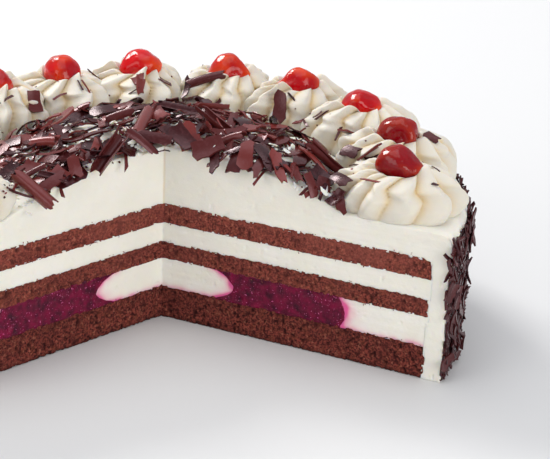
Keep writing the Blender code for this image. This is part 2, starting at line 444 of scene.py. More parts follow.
# Painted highlight: small pale pink flecks stand for glints on the wet jelly.
painted_glints = filling.spotted(0.0008, 2, 0.65, 0.73, fruit, rgb(208, 96, 150), 3)
wet = filling.bump(filling.speckle(0.0016, 3), 0.0007, 0.9)
FILLING = filling.finish(Base_Color=painted_glints, Normal=wet)
print("filling ready")

# %% [markdown]
# ## Chocolate
#
# Shaved chocolate has a satin skin with a red cast. Each shaving catches the light its own way: the
# scatter paints every one with its own tone, and paler dust lies on them in patches. A fine bump
# stands for the scuffs that the blade leaves.

# %% Chocolate finish
chocolate = Finish(
    "dark_chocolate", Roughness=0.25, Specular_IOR_Level=0.46, Specular_Tint=(1.0, 0.68, 0.74, 1.0)
)
tone = chocolate.mark("tone")
bar = chocolate.mix(chocolate.maths("POWER", tone, 1.8), rgb(40, 7, 10), rgb(124, 50, 45))
dust = chocolate.spotted(0.002, 3, 0.5, 0.8, bar, rgb(104, 58, 62))
scuffs = chocolate.bump(chocolate.speckle(0.0007, 2), 0.00018, 0.5)
CHOCOLATE = chocolate.finish(Base_Color=chocolate.mix(0.4, bar, dust), Normal=scuffs)
print("chocolate ready")

# %% [markdown]
# ## Glace cherries
#
# A glace cherry is a ball of red sugar jelly: clear enough to glow, coated in syrup. Where light
# passes through the fruit its red turns orange. That glow is painted on the points from the cherry's
# own shape, on its bulging ends and underside, and a second mark makes some cherries riper and so darker.

# %% Cherry finish
cherry = Finish(
    "glace_cherry",
    Roughness=0.05,
    Subsurface_Weight=0.3,
    Subsurface_Radius=(1.0, 0.1, 0.03),
    Subsurface_Scale=0.003,
    Specular_IOR_Level=0.32,
)
flesh = cherry.spotted(0.016, 2, 0.35, 0.65, rgb(168, 0, 14), rgb(214, 6, 10))
dark = cherry.painted("ripe", flesh, rgb(104, 0, 14))
# Painted glow: orange where light passes through the fruit, on its bulging ends and underside.
thin = cherry.painted("thin", dark, rgb(246, 96, 10))
sugar = cherry.bump(cherry.speckle(0.0013, 2), 0.0003, 0.4)
syrup = cherry.bump(cherry.speckle(0.0035, 2), 0.0008, 0.45, sugar)
CHERRY = cherry.finish(Base_Color=thin, Normal=syrup)
print("cherry ready")

# %% [markdown]
# ## Layers as swept blocks
#
# Every layer is the same kind of body: a section swept round the axis from one cut face to the
# other. Only its skin is built, as a grid whose rows u run along the section and whose columns v
# run across it. The grid is fine on the two cut faces, where a cake shows what it is made of. A
# block that starts on the axis closes there, because all its sweeps share that one line.


# %% The block builder
class Block:
    """The skin of a swept section: grid numbers, section places and faces."""

    def __init__(self, nu, nv, nw, on_axis):
        i, j, k = np.indices((nu + 1, nv + 1, nw + 1))
        used = (i == nu) | (j == 0) | (j == nv) | (k == 0) | (k == nw) | (i == 0)
        if on_axis:
            used &= (i > 0) | (k == 0)
        ids = np.full(used.shape, -1)
        ids[used] = np.arange(used.sum())
        if on_axis:
            ids[0] = ids[0, :, :1]
        self.u, self.v, self.w = i[used] / nu, j[used] / nv, k[used] / nw
        self.angle = START + SWEEP * self.w
        self.axis = (i[used] == 0) & on_axis
        self.near = (k[used] == 0) & ~self.axis
        self.far = (k[used] == nw) & ~self.axis
        sides = [ids[:, :, 0], ids[:, :, nw], ids[:, 0, :], ids[:, nv, :], ids[nu]]
        if not on_axis:
            sides.append(ids[0])
        self.faces = [face for side in sides for face in grid_faces(side)]

    def put(self, r, z):
        """Points of the section at radius r and height z, round the cake's axis."""
        x, y = r * np.cos(self.angle), r * np.sin(self.angle) + AXIS.y
        return np.stack([x, y, z], axis=1)

    def push(self, points, depth):
        """Moves the cut faces outwards by depth, along their normals."""
        start, end = START - math.pi / 2, START + SWEEP + math.pi / 2
        right = np.array([math.cos(start), math.sin(start), 0.0])
        left = np.array([math.cos(end), math.sin(end), 0.0])
        moved = points + np.where(self.near, depth, 0)[:, None] * right
        moved += np.where(self.far, depth, 0)[:, None] * left
        return moved + np.where(self.axis, depth, 0)[:, None] * (right + left)


def section_place(points):
    """Section place of each point: radius, which cut face, height."""
    radius = np.hypot(points[:, 0], points[:, 1] - AXIS.y)
    side = np.where(points[:, 0] > 0, 0.9, 0.0)
    return np.stack([radius, side, points[:, 2]], axis=1)


print("block builder ready")

# %% [markdown]
# ## The three sponges
#
# A knife tears sponge: pores open, crumbs stand proud, and the upper crust drags a ragged dark edge
# over the cream. So the cut faces get pits from thresholded noise on top of a general roughness,
# and the layer's top and bottom edges wander by up to a millimetre; the pits and dents are painted
# dark as shade. The lower layers are darker, most of all near their tops, and the lowest has a
# thin dark base, partly scorched crust and partly painted contact shadow. The sponge stands a hair
# proud of the cream, which runs on behind it, so that no gap can open between the layers.


# %% Bake the sponges
def make_sponge(name, node, seed, pale, lower_darkening):
    low, high = heights(node)
    columns = max(12, round((high - low) / (0.6 * MM)))
    block = Block(320, columns, 30, True)
    corner = 0.004 * np.clip((block.v - 0.62) / 0.38, 0, 1) ** 2
    r = block.u * (SPONGE_RADIUS - corner)
    z = low + (high - low) * block.v
    points = block.put(r, z)
    edge = rough(section_place(points), (1.9 * MM, 1, 1), seed, 4)
    wander = np.where(block.v > 0.5, 0.0007 * edge + 0.0001, 0.0003 * edge)
    wander *= np.abs(2 * block.v - 1) ** 2
    points[:, 2] += np.where((block.v > 0) | (low > 0.001), wander, 1.6 * np.abs(wander))
    out = 0.0007 * rough(points, 3 * MM, seed + 3) * (block.u > 0.97)
    points[:, 0] += out * np.cos(block.angle)
    points[:, 1] += out * np.sin(block.angle)
    crumbs = rough(points, 1.5 * MM, seed + 5, 2)
    pits = np.clip(noise(points, 1.25 * MM, seed + 9) - 0.2, 0, 1)
    dents = np.clip(noise(points, 3.1 * MM, seed + 4) - 0.45, 0, 1)
    depth = 0.00022 + 0.00032 * crumbs - 0.0014 * pits - 0.0011 * dents
    points = block.push(points, depth)
    # Paler upwards: partly dust, partly painted highlight.
    pale_dust_and_highlight = pale * (0.65 + 0.35 * block.v) * (0.8 + 0.5 * noise(points, 11 * MM, seed + 6))
    # The dark base of the lowest layer is partly scorched crust and partly painted contact shadow.
    scorch_and_contact_shade = np.exp(-block.v * (high - low) / 0.0011) * (low < 0.001)
    points = block.push(points, -0.0007 * scorch_and_contact_shade)
    # The pit mark is painted shade in the pits and dents, plus the dark base line.
    marks = {
        "pit": np.clip(1.6 * pits + 1.3 * dents + scorch_and_contact_shade, 0, 1),
        "pale": np.clip(pale_dust_and_highlight, 0, 1),
        "lower_darkening": lower_darkening * (0.4 + 0.9 * block.v),
    }
    return settle(make_piece(name, points, block.faces, SPONGE, marks), "sponge", node)


#     layer, seed of its relief, how pale, how much darker
SPONGES = (("bottom", 0.0, 0.0, 0.28), ("middle", 20.0, 0.3, 0.12), ("top", 40.0, 0.6, 0.0))
for layer, seed, pale, lower_darkening in SPONGES:
    make_sponge(f"baked_sponge_{layer}", f"sponge_{layer}", seed, pale, lower_darkening)

# %% [markdown]
# ## Cream between and over the sponges
#
# The middle cream is a plain round. The filling layer is piped in rings: a heart of cream, whose
# side swells into the cherry filling, and an outer ring of cream that holds the filling in. The top
# cream and the masked side are one skin, bent over the edge of the cake, so its block follows a
# band: u runs out along the top and then down the side, and v runs through its thickness.
#
# A wet blade leaves cream almost smooth: long shallow streaks and some burst bubbles. In the inner
# corner, where the two cuts crossed, a faint yellow line is painted as the shade of the knife's groove.


# %% Cut cream
def cream_depth(points, seed):
    """How far a cut cream face stands out: streaks, faint waves and pin-hole bubbles."""
    streaks = noise(section_place(points), (22 * MM, 1, 1.1 * MM), seed)
    waves = noise(points, 9 * MM, seed + 1)
    bubbles = np.clip(noise(points, 1.4 * MM, seed + 2) - 0.62, 0, 1)
    ripples = rough(points, 2.6 * MM, seed + 5)
    return -0.00012 + 0.0001 * streaks + 0.0002 * waves + 0.00012 * ripples - 0.002 * bubbles


def make_cream(name, node, block, points, seed, marks=None):
    points = block.push(points, cream_depth(points, seed))
    return settle(make_piece(name, points, block.faces, CREAM, marks), "cream", node)


OVERLAP = 0.0007


def between(block, low, high):
    """Heights of a block's points, from a little under low to a little over high."""
    return low - OVERLAP + (high - low + 2 * OVERLAP) * block.v


block = Block(200, 16, 30, True)
points = block.put(block.u * (SPONGE_RADIUS + OVERLAP), between(block, *heights("cream_middle")))
make_cream("spread_cream_middle", "cream_middle", block, points, 40.0)

# %% Pipe the filling layer
FILL_LOW, FILL_HIGH = heights("filling_cherry")
HEART_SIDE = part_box("filling_cream_heart")[1].x
FILL_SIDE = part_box("filling_cherry")[1].x
HEART_SWELL, FILL_SWELL = 0.0095, 0.0025


def share_up(height):
    """0 at the bottom of the filling layer, 1 at its top."""
    return np.clip((height - FILL_LOW) / (FILL_HIGH - FILL_LOW), 0, 1)


def heart_edge(height, angle):
    """Radius where the heart of cream meets the cherry filling, wavy round the cake."""
    t = share_up(height)
    wave = 0.0012 * np.sin(5 * angle + 1.0) + 0.0008 * np.sin(11 * angle)
    swell = HEART_SWELL * np.sin(np.pi * t) ** 0.8
    return HEART_SIDE - HEART_SWELL + swell + wave * (0.3 + 0.7 * np.sin(np.pi * t))


def fill_edge(height, angle):
    """Radius where the cherry filling ends."""
    t = share_up(height)
    wave = 0.001 * np.sin(4 * angle) + 0.0007 * np.sin(13 * angle + 2)
    return FILL_SIDE - FILL_SWELL + FILL_SWELL * np.sin(np.pi * t) + wave - 0.001 * t


def juice(distance, points, seed):
    """How pink the cream is at a distance from the filling."""
    patch = 0.75 + 0.6 * noise(points, 3 * MM, seed)
    seep = 0.8 * np.exp(-np.abs(points[:, 2] - FILL_LOW) / 0.0009)
    return np.clip((2.4 * np.exp(-np.maximum(distance, 0) / 0.0024) + seep) * patch, 0, 1)


block = Block(64, 26, 40, True)
z = between(block, FILL_LOW, FILL_HIGH)
edge = heart_edge(z, block.angle)
points = block.put(block.u * (edge + OVERLAP), z)
stain = juice(edge * (1 - block.u), points, 3.0)
make_cream("piped_cream_heart", "filling_cream_heart", block, points, 50.0, {"stain": stain})

block = Block(70, 26, 40, False)
z = between(block, FILL_LOW, FILL_HIGH)
edge = fill_edge(z, block.angle) - OVERLAP
r = edge + (SPONGE_RADIUS + OVERLAP - edge) * block.u
points = block.put(r, z)
stain = juice(r - edge, points, 4.0)
make_cream("piped_cream_ring", "filling_cream_ring", block, points, 60.0, {"stain": stain})

# %% Spoon in the cherry filling
block = Block(110, 28, 60, False)
z = between(block, FILL_LOW, FILL_HIGH)
inner, outer = heart_edge(z, block.angle), fill_edge(z, block.angle)
r = inner + (outer - inner) * block.u
points = block.put(r, z)
fringe = rough(points, 2.5 * MM, 7.0) * ((block.u < 0.02) | (block.u > 0.98))
points = block.put(r + 0.0007 * fringe, z)
lumps = rough(points, 4 * MM, 8.0)
holes = np.clip(noise(points, 2.2 * MM, 9.0) - 0.5, 0, 1)
points = block.push(points, 0.0002 + 0.0004 * lumps - 0.0014 * holes)
piece = make_piece("spooned_cherry_filling", points, block.faces, FILLING)
settle(piece, "cherry_filling", "filling_cherry")

# %% [markdown]
# ## The coat
#
# The coat's outer line starts at the dome's top, falls to the flat rim, turns over a rounded edge
# and runs down the side. Its inner line is the sponge: out along the top, down along the side. Both
# are walked at once, and they turn their corners at the same u.


# %% Mask the cake
DOME_RADIUS = 0.088


def dome(radius):
    """Height of the cream under the shavings and the rosettes."""
    fall = np.clip(1 - (np.asarray(radius) / DOME_RADIUS) ** 2.7, 0, None)
    bed = RIM - 0.0005
    return bed + (COAT_TOP - bed) * fall


def walk(line, share):
    """Places along a line of (radius, height) points, at shares 0..1 of its length."""
    line = np.asarray(line)
    steps = np.hypot(*np.diff(line, axis=0).T)
    along = np.concatenate([[0], np.cumsum(steps)]) / steps.sum()
    return np.interp(share, along, line[:, 0]), np.interp(share, along, line[:, 1])


CORNER_AT = 0.68
EDGE = 0.005
base_z = heights("sponge_top")[1] - OVERLAP
block = Block(230, 26, 100, True)
before = block.u <= CORNER_AT
first = np.clip(block.u / CORNER_AT, 0, 1)
second = np.clip((block.u - CORNER_AT) / (1 - CORNER_AT), 0, 1)
core = SPONGE_RADIUS - OVERLAP
top_line = [(r, float(dome(r))) for r in np.linspace(0, COAT_RADIUS - EDGE, 60)]
turn = [
    (COAT_RADIUS - EDGE + EDGE * math.sin(a), float(dome(COAT_RADIUS)) - EDGE + EDGE * math.cos(a))
    for a in np.linspace(0, math.pi / 2, 9)
]
over_top, down_side = walk(top_line + turn[1:5], first), walk(turn[4:] + [(COAT_RADIUS, 0.0)], second)
outer = np.where(before, over_top, down_side)
inner = np.where(before, [first * core, 0 * first + base_z], [0 * second + core, base_z * (1 - second)])
r, z = inner + (outer - inner) * block.v
points = block.put(r, z)
skin = 0.0004 * rough(points, 14 * MM, 70.0) * (block.v > 0.99)
points = block.put(r + np.where(before, 0, skin), z + np.where(before, skin, 0))
# The groove mark on the axis paints a faint yellow line of shade in the inner corner.
make_cream("cream_coat_skin", "cream_coat", block, points, 75.0, {"groove": block.axis * 0.45})

# %% [markdown]
# ## Piped rosettes
#
# A star nozzle leaves a ridge for each of its teeth. The bag is squeezed until the foot spreads,
# then turned and lifted, so the ridges lean over one another on their way up, and a wavy seam shows
# where the second turn of the nozzle lies on the first. The shape is worked out row by row, from
# the foot over the shoulder and down into the hollow under the cherry. Each ridge has a round back,
# and the groove beside it a sharp floor. The foot is an oval that fills its portion, and it turns
# into a circle towards the cherry.

# %% Draw the rosette's profile
LOBES = 11
PORTION = SWEEP / ROSETTES
LENGTH, WIDTH, TALL = 0.0570, 0.0446, 0.0178
SHOULDER = 0.0225
SQUASHED = {0: 0.9}
#        along, share of the foot, share of the height, depth of the grooves
PROFILE = np.array(
    [
        (0.00, 0.93, -0.03, 0.10),
        (0.06, 1.00, 0.08, 0.14),
        (0.18, 1.05, 0.33, 0.18),
        (0.32, 1.03, 0.61, 0.21),
        (0.46, 0.94, 0.83, 0.25),
        (0.59, 0.77, 0.96, 0.30),
        (0.71, 0.58, 1.00, 0.34),
        (0.81, 0.44, 0.94, 0.28),
        (0.89, 0.33, 0.82, 0.14),
        (0.95, 0.17, 0.68, 0.05),
        (1.00, 0.00, 0.61, 0.00),
    ]
)
NUDGES = np.clip(np.random.default_rng(31).normal(0, 0.0012, (ROSETTES, 2)), -0.002, 0.002)


def middle_of(number):
    """Direction of the middle of a portion."""
    return START + (number + 0.5) * PORTION


def soften(values):
    """Rounds the corners of a sampled line, and leaves its ends."""
    kernel = np.hanning(7)[1:-1]
    return np.convolve(np.pad(values, 2, mode="edge"), kernel / kernel.sum(), mode="valid")


print("a rosette is", LENGTH, "by", WIDTH, "by", TALL, "m and has", LOBES, "lobes")


# %% Run the ridges round a rosette
def run_ridges(T, A, shift):
    """The ridges' phase and the fold under the second turn; T runs up the section and A round it."""
    uneven = 0.12 * np.sin(A + shift[0]) + 0.09 * np.sin(2 * A + shift[1])
    phase = LOBES / 2 * (A + uneven - 0.55 * T - 0.9 * T**4) + shift[2]
    seam = 0.36 + 0.10 * np.sin(A + shift[5]) + 0.05 * np.sin(3 * A + shift[4])
    second = np.clip((T - seam) / 0.20, 0, 1)
    second = second * second * (3 - 2 * second)
    phase += 1.25 * second
    return phase, np.exp(-(((T - seam - 0.07) / 0.06) ** 2))


def rosette_foot(A, shift):
    """Reach of the foot in each direction: a full oval, a little uneven."""
    full = 2.4
    oval = (np.abs(np.cos(A)) / (LENGTH / 2)) ** full + (np.abs(np.sin(A)) / (WIDTH / 2)) ** full
    return oval ** (-1 / full) * (1 + 0.05 * np.cos(A) + 0.03 * np.sin(3 * A + shift))


# %% Pipe one rosette on every portion
def make_rosette(number):
    rng = np.random.default_rng(500 + number)
    rows, columns = 56, LOBES * 16
    t = np.linspace(0, 1, rows)
    share, rise, groove = (soften(np.interp(t, PROFILE[:, 0], PROFILE[:, k])) for k in (1, 2, 3))
    share[-1] = 0.0
    share, rise, groove = share[:, None], rise[:, None], groove[:, None]
    around = np.linspace(0, math.tau, columns, endpoint=False)
    T, A = np.meshgrid(t, around, indexing="ij")
    shift = rng.uniform(0, math.tau, 6)
    phase, fold = run_ridges(T, A, shift)
    lobe = np.floor(phase / math.pi + 0.5).astype(int) % LOBES
    fat, lift = rng.uniform(-0.07, 0.12, LOBES)[lobe], rng.uniform(0.2, 1.8, LOBES)[lobe]
    off_crest = np.abs((phase / math.pi + 0.5) % 1 - 0.5) * 2
    ridge = np.clip(1 - off_crest**2.1, 0, 1) ** 0.75
    strength = 1 + 0.22 * np.sin(2 * A + shift[3]) + 0.18 * np.sin(3 * A + shift[4] - T)
    body = 1 - groove * strength * (1 - ridge) + fat * ridge * np.sin(np.pi * T**0.7) - 0.055 * fold
    lean = A - 0.05 * np.sin(2 * phase) * np.sin(np.pi * T) ** 0.5 + 0.05 * ridge * T
    oval = rosette_foot(A, shift[5])
    ease = np.clip(T / 0.72, 0, 1) ** 1.6
    reach = (oval * (1 - ease) + SHOULDER * ease) * share * body * rng.uniform(0.97, 1.03)
    x, y = reach * np.cos(lean), reach * np.sin(lean)
    tall = TALL * rng.uniform(0.95, 1.05) * SQUASHED.get(number, 1.0)
    bed = dome(np.hypot(RING_RADIUS + x, y)) - RIM
    crest = 0.0026 * lift * ridge * np.exp(-(((T - 0.75) / 0.11) ** 2))
    z = RIM + bed * (1 - np.clip(rise, 0, 1)) + tall * rise + crest * strength
    lean_over = rng.uniform(-0.0008, 0.0008, 2)
    local = np.stack([x + lean_over[0] * rise, y + lean_over[1] * rise, z], axis=-1).reshape(-1, 3)
    wrinkle = rough(local + number, 8 * MM, 80.0 + number, 4)[:, None]
    local[:, :2] *= 1 + 0.035 * wrinkle
    local[:, 2] += 0.0003 * wrinkle[:, 0]
    out, aside = local[:, 0] + RING_RADIUS + NUDGES[number, 0], local[:, 1] + NUDGES[number, 1]
    x, y = at_angle(middle_of(number), out, aside)
    points = np.stack([x, y + AXIS.y, local[:, 2]], 1)
    ids = np.arange(rows * columns).reshape(rows, columns)
    ids[-1] = ids[-1, 0]
    used, faces = round_grid(ids)
    faces.append(ids[0, ::-1].tolist())
    # The groove mark is painted shade, strongest on the floors of the grooves, where shade falls.
    depth = (off_crest**6 * np.clip(groove * 4, 0, 1)).reshape(-1)[used]
    # The piped mark paints the whole rosette darker, as painted shade.
    marks = {"groove": np.clip(depth, 0, 1), "piped": np.ones(len(used))}
    piece = make_piece(f"piped_rosette_{number + 1:02d}", points[used], faces, CREAM, marks)
    return settle(piece, "cream", f"rosette_{number + 1:02d}")


for number in range(ROSETTES):
    make_rosette(number)

# %% [markdown]
# ## Cherries
#
# Candied cherries are soft: they flatten where they lay against each other in the jar, and keep a
# dent or a torn edge from the stone. Each starts as a ball; a few random planes press it in, a
# smooth minimum keeps the edges between those planes round, two ends are pulled out a little, and
# one dent goes in deeper.


# %% Press a ball into the shape of a cherry
def press_ball(rng, way, seed):
    """The cherry's radius in each direction, where the ball's is 1."""
    limits = [np.ones(len(way))]
    for _ in range(6):
        normal = rng.normal(size=3)
        normal /= np.linalg.norm(normal)
        facing = np.clip(way @ normal, 1e-3, None)
        limits.append(rng.uniform(0.76, 0.94) / facing)
    radius = sum(limit**-10.0 for limit in limits) ** (-1 / 10.0)
    for end in rng.uniform(0, math.tau) + np.array([0, math.pi]) + rng.normal(0, 0.4, 2):
        beak = np.array([math.cos(end), math.sin(end), rng.uniform(-0.3, 0.1)])
        pull = rng.uniform(0.04, 0.2)
        radius *= 1 + pull * np.exp(-((np.arccos(np.clip(way @ beak, -1, 1)) / 0.45) ** 2))
    turn = rng.uniform(-2.4, -0.5)
    hole = np.array([math.cos(turn), math.sin(turn), rng.uniform(-0.2, 0.5)])
    hole /= np.linalg.norm(hole)
    near = np.exp(-((np.arccos(np.clip(way @ hole, -1, 1)) / 0.42) ** 2))
    radius *= 1 - rng.uniform(0.04, 0.2) * near
    return radius * (1 + 0.05 * noise(way, 0.55, seed) + 0.028 * noise(way, 0.27, seed + 40))


# %% Put a cherry on every rosette
RIPE = (0, 1)


def make_cherry(number):
    rng = np.random.default_rng(40 + 7 * number)
    low, high = (np.array(corner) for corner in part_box(f"cherry_{number + 1:02d}"))
    rows, columns = 30, 44
    tilt, around = np.meshgrid(
        np.linspace(0, math.pi, rows), np.linspace(0, math.tau, columns, endpoint=False), indexing="ij"
    )
    way = np.stack([np.sin(tilt) * np.cos(around), np.sin(tilt) * np.sin(around), np.cos(tilt)], -1)
    way = way.reshape(-1, 3)
    radius = press_ball(rng, way, number)
    half = (high - low) / 2 * np.array([1.02, 1.02, 1.12]) * rng.uniform(0.92, 1.07)
    body = way * radius[:, None] * half
    turned = Euler((rng.normal(0, 0.15), rng.normal(0, 0.15), 0)).to_matrix()
    nudge = at_angle(middle_of(number), *(NUDGES[number] + rng.normal(0, 0.0006, 2)))
    centre = (low + high) / 2 + np.array([*nudge, -0.0004])
    points = body @ np.array(turned).T + centre
    ids = np.arange(rows * columns).reshape(rows, columns)
    ids[0], ids[-1] = ids[0, 0], ids[-1, 0]
    used, faces = round_grid(ids)
    # The thin mark is a painted glow of light passing through, weaker on the riper cherries.
    edge = np.clip((radius - 0.93) * 5, 0, 1) * 0.6 + np.clip(-way[:, 2] * 1.2 - 0.15, 0, 1) * 0.8
    ripe = number in RIPE
    thin = np.clip(1.2 * edge, 0, 0.9) * (0.4 if ripe else 1.0)
    marks = {"thin": thin[used], "ripe": np.full(len(used), 0.8 if ripe else rng.uniform(0, 0.25))}
    piece = make_piece(f"candied_cherry_{number + 1:02d}", points[used], faces, CHERRY, marks)
    return settle(piece, "cherry", f"cherry_{number + 1:02d}")


for number in range(ROSETTES):
    make_cherry(number)

# %% [markdown]
# ## Shapes of shaved chocolate
#
# A blade drawn over a chocolate bar lifts thin sheets. Short ones break off as plates, long ones
# roll up into curls, narrow ones are splinters, and the rest is crumbs. All but the crumbs are one
# recipe: a thin sheet with ragged ends, rolled about its long axis and bent along it. Ten or so
# variants of each are enough, because each copy is turned and stretched its own way.


# %% Draw sheets and crumbs
def sheet_shape(rng, length, width, thick, roll, bend, ragged, along, across):
    """A thin sheet of chocolate: its points and its faces."""
    U, V = np.meshgrid(
        np.linspace(-0.5, 0.5, along + 1), np.linspace(-0.5, 0.5, across + 1), indexing="ij"
    )
    ends = 1 - ragged * rng.uniform(0, 1, (2, across + 1))
    sides = 1 - 0.6 * ragged * rng.uniform(0, 1, (2, along + 1)) * (1 - 0.5 * np.abs(U[:, 0]))
    taper = 1 - rng.uniform(0, 0.7) * ragged * (U + 0.5)
    x = U * length * np.where(U > 0, ends[0], ends[1])
    y = V * np.where(V > 0, sides[0][:, None], sides[1][:, None]) * taper
    points = []
    for offset in (-0.5, 0.5):
        radius = width / roll - offset * thick
        side, up = radius * np.sin(y * roll), width / roll - radius * np.cos(y * roll)
        reach, turn = length / bend - up, x * bend / length
        ahead, over = reach * np.sin(turn), length / bend - reach * np.cos(turn)
        points.append(np.stack([ahead, side, over], -1).reshape(-1, 3))
    points = np.concatenate(points)
    low = np.arange((along + 1) * (across + 1)).reshape(along + 1, across + 1)
    high = low + low.size
    faces = grid_faces(low) + grid_faces(high)
    rim = np.concatenate([low[0, :-1], low[:-1, -1], low[-1, :0:-1], low[:0:-1, 0]])
    for a, b in zip(rim.tolist(), np.roll(rim, -1).tolist()):
        faces.append([a, b, b + low.size, a + low.size])
    points[:, 2] -= points[:, 2].min()
    return points, faces


def crumb_shape(rng, size):
    """A broken grain with flat sides."""
    bm = bmesh.new()
    bmesh.ops.create_icosphere(bm, subdivisions=1, radius=size / 2)
    points = np.array([v.co for v in bm.verts]) * rng.uniform(0.6, 1.25, (len(bm.verts), 1))
    points *= rng.uniform((0.8, 0.6, 0.4), (1.4, 1.0, 0.7))
    faces = [[v.index for v in face.verts] for face in bm.faces]
    bm.free()
    return points, faces


print("sheets and crumbs ready")

# %% Model the shapes
#   how many shapes, length, width, thickness, roll and bend in degrees, raggedness, faces each way
KINDS = {
    "plate": (16, (9, 23), (4.5, 10.5), (0.55, 0.85), (8, 70), (4, 50), 0.45, 5, 3),
    "curl": (9, (12, 30), (8, 14), (0.5, 0.7), (150, 300), (2, 22), 0.3, 3, 9),
    "splinter": (10, (6, 15), (0.9, 2.3), (0.5, 0.8), (5, 60), (5, 60), 0.55, 4, 1),
    "crumb": (6, (1.0, 2.4)),
}
SHAPES = {}
for seed, (kind, (count, length, *sheet)) in enumerate(KINDS.items()):
    rng = np.random.default_rng(40 + seed)
    folder = bpy.data.collections.new(kind)
    sizes = []
    for number in range(count):
        if sheet:
            width, thick, roll, bend, *rest = sheet
            long, wide, thin = (rng.uniform(*span) * MM for span in (length, width, thick))
            rolled, bent = (math.radians(rng.uniform(*span)) for span in (roll, bend))
            points, faces = sheet_shape(rng, long, wide, thin, rolled, bent, *rest)
            sizes.append((long, np.ptp(points[:, 1]), min(np.ptp(points[:, 2]), 4 * MM)))
        else:
            size = rng.uniform(*length) * MM
            points, faces = crumb_shape(rng, size)
            sizes.append((size, size * 0.8, size * 0.5))
        shape = make_piece(f"{kind}_{number:02d}", points, faces, CHOCOLATE)
        shape.data.set_sharp_from_angle(angle=math.radians(38))
        bpy.context.scene.collection.objects.unlink(shape)
        folder.objects.link(shape)
    SHAPES[kind] = (folder, np.array(sizes))
    print(kind, count, "shapes", len(shape.data.polygons), "faces each")

# %% [markdown]
# ## Scattering the shavings
#
# A heap looks real when every piece rests on what fell before it. A height map does that without a
# simulation: each shaving is dropped onto the map, a plane through the heights under it gives its
# tilt, and its own thickness then raises the map. Python works out where each one lands; Geometry
# Nodes puts the shapes there, gives each its own size and tone, and makes them one mesh.


# %% Build the scatter tree
def lay_tree():
    tree = bpy.data.node_groups.new("lay_shavings", "GeometryNodeTree")
    sockets = {
        "Spots": "NodeSocketGeometry",
        "Shapes": "NodeSocketCollection",
        "Finish": "NodeSocketMaterial",
        "Unevenness": "NodeSocketFloat",
        "Palest": "NodeSocketFloat",
        "Seed": "NodeSocketInt",
    }
    for name, kind in sockets.items():
        tree.interface.new_socket(name, in_out="INPUT", socket_type=kind)
    tree.interface.new_socket("Shavings", in_out="OUTPUT", socket_type="NodeSocketGeometry")
    given = add_node(tree, "NodeGroupInput").outputs

    def node(kind, links, output=0, **settings):
        """One output of a new node."""
        return add_node(tree, kind, links, **settings).outputs[output]

    def attribute(name, sort):
        return node("GeometryNodeInputNamedAttribute", {"Name": name}, data_type=sort)

    def chance(least, most):
        """A random number for each shaving."""
        links = {2: least, 3: most, "Seed": given["Seed"]}
        return node("FunctionNodeRandomValue", links, 1, data_type="FLOAT")

    chosen = {"Collection": given["Shapes"], "Separate Children": True, "Reset Children": True}
    spread = {0: 1.0, 1: given["Unevenness"]}
    least, most = (node("ShaderNodeMath", spread, operation=how) for how in ("SUBTRACT", "ADD"))
    size = {0: attribute("stretch", "FLOAT_VECTOR"), "Scale": chance(least, most)}
    on_spots = {
        "Points": given["Spots"],
        "Instance": node("GeometryNodeCollectionInfo", chosen),
        "Pick Instance": True,
        "Instance Index": attribute("shape", "INT"),
        "Rotation": node("FunctionNodeEulerToRotation", {0: attribute("turn", "FLOAT_VECTOR")}),
        "Scale": node("ShaderNodeVectorMath", size, operation="SCALE"),
    }
    laid = node("GeometryNodeInstanceOnPoints", on_spots)
    own_tone = {"Geometry": laid, "Name": "tone", "Value": chance(0.0, given["Palest"])}
    toned = node("GeometryNodeStoreNamedAttribute", own_tone, data_type="FLOAT", domain="INSTANCE")
    real = node("GeometryNodeRealizeInstances", {"Geometry": toned})
    dressed = node("GeometryNodeSetMaterial", {"Geometry": real, "Material": given["Finish"]})
    add_node(tree, "NodeGroupOutput", {0: dressed})
    return tree


LAY_SHAVINGS = lay_tree()
print("scatter tree with", len(LAY_SHAVINGS.nodes), "nodes")


# %% Lay one kind of shaving
def lay_shavings(name, kind, spots, seed, *nodes, palest=1.0, finish=CHOCOLATE, slot="chocolate"):
    """Puts the shapes of one kind at the spots and makes one plain mesh of them."""
    places, turns, stretches, shapes = (np.array(column) for column in zip(*spots))
    points = bpy.data.meshes.new("spots")
    points.from_pydata(places.tolist(), [], [])
    for mark, sort, field, values in (
        ("turn", "FLOAT_VECTOR", "vector", turns),
        ("stretch", "FLOAT_VECTOR", "vector", stretches),
        ("shape", "INT", "value", shapes),
    ):
        layer = points.attributes.new(mark, sort, "POINT")
        layer.data.foreach_set(field, values.reshape(-1))
    carrier = put_in_scene("spots", points)
    modifier = carrier.modifiers.new("lay", "NODES")
    modifier.node_group = LAY_SHAVINGS
    settings = {
        "Shapes": SHAPES[kind][0],
        "Finish": finish,
        "Unevenness": 0.06,
        "Palest": palest,
        "Seed": seed,
    }
    for socket in LAY_SHAVINGS.interface.items_tree:
        if socket.in_out == "INPUT" and socket.name in settings:
            modifier[socket.identifier] = settings[socket.name]
    evaluated = carrier.evaluated_get(bpy.context.evaluated_depsgraph_get())
    mesh = bpy.data.meshes.new_from_object(evaluated)
    mesh.name = name
    bpy.data.objects.remove(carrier)
    return settle(put_in_scene(name, mesh), slot, *nodes)


